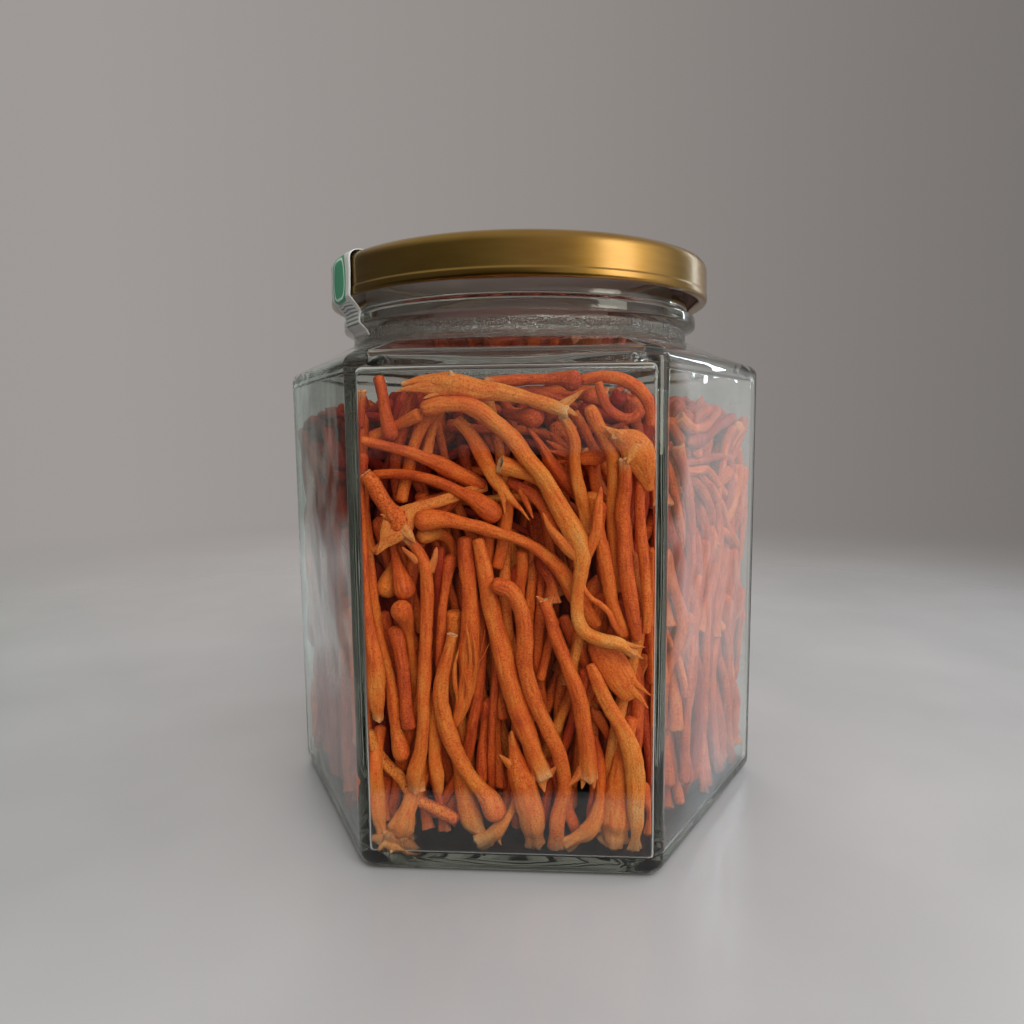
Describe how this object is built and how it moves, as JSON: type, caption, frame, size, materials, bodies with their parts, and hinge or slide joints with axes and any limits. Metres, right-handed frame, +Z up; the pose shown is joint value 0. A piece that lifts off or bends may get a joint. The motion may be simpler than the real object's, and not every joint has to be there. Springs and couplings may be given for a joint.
{
  "type": "jar of dried cordyceps",
  "caption": "Six-sided clear glass jar with a gold twist-off lid and a paper seal strip, packed full of dried orange cordyceps fruit bodies.",
  "frame": {"origin": "middle of the jar's foot, on the surface it stands on", "axes": "+Z up through the lid, a flat side faces -Y (the side seen in front), two corners of the hexagon lie on +X and -X"},
  "size_m": [0.1088, 0.0952, 0.1183],
  "materials": {
    "glass": "clear pressed soda-lime glass with a faint green cast, smooth flats and rounded edges",
    "tinplate": "gold lacquered tinplate, satin",
    "liner": "matt sealing compound",
    "paper": "thin matt paper with a plain green block and evenly spaced thin grey lines",
    "fungus": "dried orange fungus, dull, finely wrinkled and speckled, paler at the foot"
  },
  "bodies": {
    "root": {"jar": "glass", "lid": "tinplate", "lid_liner": "liner", "seal_strip": "paper", "stem_arch": "fungus", "stem_behind_club": "fungus", "stem_bow": "fungus", "stem_bright": "fungus", "stem_broad_leaf": "fungus", "stem_club_facing": "fungus", "stem_club_outer": "fungus", "stem_club_upper": "fungus", "stem_corner_foot": "fungus", "stem_corner_left": "fungus", "stem_cut_left": "fungus", "stem_cut_middle": "fungus", "stem_dried_base": "fungus", "stem_edge_left": "fungus", "stem_end_on": "fungus", "stem_fork_arm": "fungus", "stem_fork_curl": "fungus", "stem_forked": "fungus", "stem_frayed_foot": "fungus", "stem_hanging_club": "fungus", "stem_heavy_foot": "fungus", "stem_left_club": "fungus", "stem_left_drop": "fungus", "stem_left_inner": "fungus", "stem_left_rear": "fungus", "stem_left_second": "fungus", "stem_left_slant": "fungus", "stem_left_upper": "fungus", "stem_long_club": "fungus", "stem_loop": "fungus", "stem_low_club": "fungus", "stem_low_pink": "fungus", "stem_low_slant": "fungus", "stem_middle_short": "fungus", "stem_pale_foot": "fungus", "stem_pale_tip": "fungus", "stem_pile": "fungus", "stem_pointed_foot": "fungus", "stem_ragged_foot": "fungus", "stem_ribbed": "fungus", "stem_right_bent": "fungus", "stem_right_edge": "fungus", "stem_right_foot": "fungus", "stem_right_front": "fungus", "stem_right_second": "fungus", "stem_right_straight": "fungus", "stem_shadow_left": "fungus", "stem_split_top": "fungus", "stem_taper": "fungus", "stem_thick": "fungus", "stem_top_club": "fungus", "stem_top_log": "fungus", "stem_turned_foot": "fungus", "stem_under_fork": "fungus", "stem_upper_bump": "fungus", "stem_wide_foot": "fungus"}
  },
  "joints": []
}
